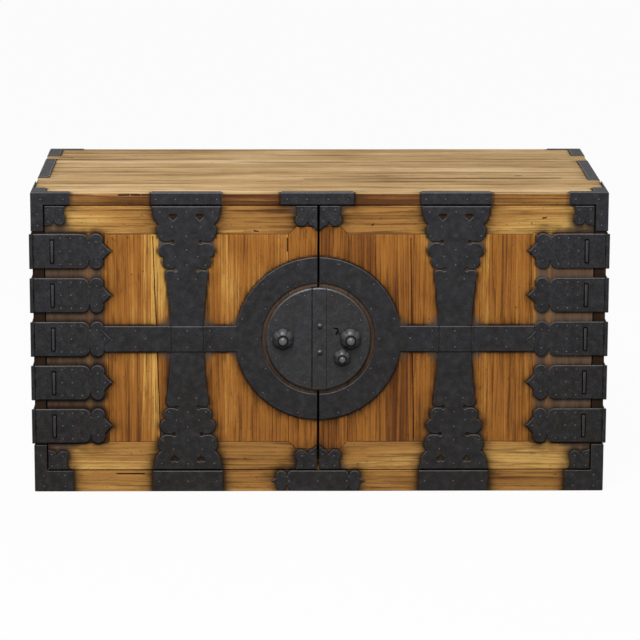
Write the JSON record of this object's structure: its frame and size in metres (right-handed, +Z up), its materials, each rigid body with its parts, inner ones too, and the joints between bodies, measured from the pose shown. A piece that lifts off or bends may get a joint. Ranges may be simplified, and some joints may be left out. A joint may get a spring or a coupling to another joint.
{
  "type": "choba tansu",
  "caption": "Low Japanese merchant's counter chest with a pair of iron-bound doors on long strap hinges, a round lock plate and a shelf inside.",
  "frame": {"origin": "middle of the underside, on the surface that the chest stands on", "axes": "+X to the right seen from the front, the doors face -Y, +Z up"},
  "size_m": [0.9184, 0.4791, 0.4868],
  "materials": {
    "front_wood": "amber wiped lacquer, worn, soot-dark beside the ironwork",
    "case_wood": "faded satin lacquer on the top",
    "inside_wood": "bare sawn and planed wood",
    "plate_iron": "blackened wrought iron sheet, hammered, satin",
    "lock_iron": "forged iron, rubbed brighter on the knobs"
  },
  "bodies": {
    "case": {"top_board": "case_wood", "bottom_board": "front_wood", "left_side_board": "front_wood", "right_side_board": "front_wood", "back_board": "inside_wood", "shelf": "inside_wood", "top_left_corner_iron": "plate_iron", "top_right_corner_iron": "plate_iron", "bottom_left_corner_iron": "plate_iron", "bottom_right_corner_iron": "plate_iron", "top_left_edge_iron": "plate_iron", "top_centre_edge_iron": "plate_iron", "top_right_edge_iron": "plate_iron", "bottom_left_edge_iron": "plate_iron", "bottom_right_edge_iron": "plate_iron", "bottom_centre_iron": "plate_iron", "left_hinge_leaf_1": "plate_iron", "left_hinge_leaf_2": "plate_iron", "left_hinge_leaf_3": "plate_iron", "left_hinge_leaf_4": "plate_iron", "left_hinge_leaf_5": "plate_iron", "right_hinge_leaf_1": "plate_iron", "right_hinge_leaf_2": "plate_iron", "right_hinge_leaf_3": "plate_iron", "right_hinge_leaf_4": "plate_iron", "right_hinge_leaf_5": "plate_iron"},
    "left_door": {"left_hinge_stile": "front_wood", "left_meeting_stile": "front_wood", "left_top_rail": "front_wood", "left_bottom_rail": "front_wood", "left_panel": "front_wood", "left_hinge_strap_1": "plate_iron", "left_hinge_strap_2": "plate_iron", "left_hinge_strap_3": "plate_iron", "left_hinge_strap_4": "plate_iron", "left_hinge_strap_5": "plate_iron", "left_waist_strap": "plate_iron", "left_ring_iron": "plate_iron", "left_lock_plate": "lock_iron", "left_pull_knob": "lock_iron", "bolt_keeper": "lock_iron"},
    "right_door": {"right_hinge_stile": "front_wood", "right_meeting_stile": "front_wood", "right_top_rail": "front_wood", "right_bottom_rail": "front_wood", "right_panel": "front_wood", "right_hinge_strap_1": "plate_iron", "right_hinge_strap_2": "plate_iron", "right_hinge_strap_3": "plate_iron", "right_hinge_strap_4": "plate_iron", "right_hinge_strap_5": "plate_iron", "right_waist_strap": "plate_iron", "right_ring_iron": "plate_iron", "right_lock_plate": "lock_iron", "closing_strip": "lock_iron", "right_pull_knob": "lock_iron", "lock_case": "lock_iron"},
    "latch": {"latch_knob": "lock_iron", "latch_lever": "lock_iron"},
    "bolt": {"lock_bolt": "lock_iron"}
  },
  "joints": [
    {"name": "left_door_hinge", "type": "hinge", "parent": "case", "child": "left_door", "pos_m": [-0.4559, -0.2306, 0.251], "axis": [0, 0, -1], "range_deg": [0, 260]},
    {"name": "right_door_hinge", "type": "hinge", "parent": "case", "child": "right_door", "pos_m": [0.4559, -0.2306, 0.251], "axis": [0, 0, 1], "range_deg": [0, 260]},
    {"name": "latch_turn", "type": "hinge", "parent": "right_door", "child": "latch", "pos_m": [0.0361, -0.205, 0.2207], "axis": [0, -1, 0], "range_deg": [0, 60]},
    {"name": "bolt_slide", "type": "slide", "parent": "right_door", "child": "bolt", "axis": [-1, 0, 0], "range_m": [0, 0.024]}
  ],
  "couplings": [
    {"joint": "bolt_slide", "follows": "latch_turn", "m_per_rad": 0.022918}
  ]
}
